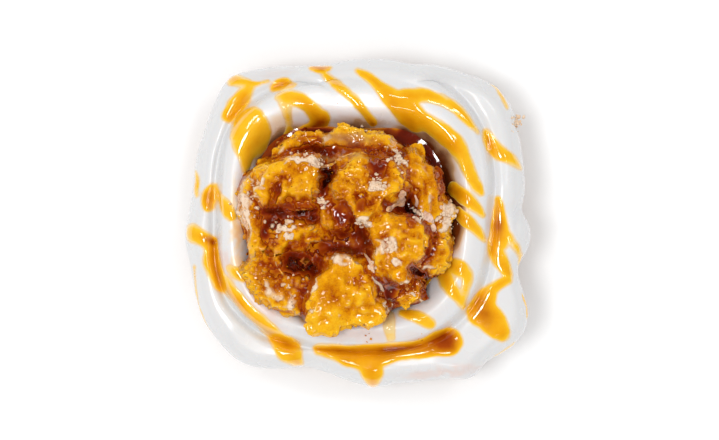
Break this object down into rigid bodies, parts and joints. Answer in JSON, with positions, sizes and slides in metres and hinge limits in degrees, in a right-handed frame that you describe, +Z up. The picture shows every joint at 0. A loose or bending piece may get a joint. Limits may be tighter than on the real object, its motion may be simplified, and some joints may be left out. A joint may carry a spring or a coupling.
{
  "type": "stuffed cinnamon roll",
  "caption": "Square-sided coiled pastry roll under poured white icing and caramel drizzle, its hollow filled with caramel sauce and heaped with broken soft cookie.",
  "frame": {"origin": "on the flat underside, in the middle of the outline", "axes": "+Z up out of the table the roll sits on, +X to the right and +Y away from the viewer as the roll is looked down on"},
  "size_m": [0.1097, 0.105, 0.0687],
  "materials": {
    "dough": "golden-brown baked dough, dry and matt",
    "icing": "opaque white sugar icing, smooth and glossy",
    "caramel": "wet caramel sauce, brown where deep and amber where thin",
    "cookie": "soft crumbly cookie, dry on its breaks and glazed with caramel on top"
  },
  "bodies": {
    "root": {"dough_roll": "dough", "icing": "icing", "caramel_pool": "caramel", "cookie_01": "cookie", "cookie_02": "cookie", "cookie_03": "cookie", "cookie_04": "cookie", "cookie_05": "cookie", "cookie_06": "cookie", "cookie_07": "cookie", "cookie_08": "cookie", "cookie_09": "cookie", "cookie_10": "cookie", "cookie_11": "cookie", "cookie_12": "cookie", "cookie_13": "cookie", "cookie_14": "cookie", "cookie_15": "cookie"}
  },
  "joints": []
}
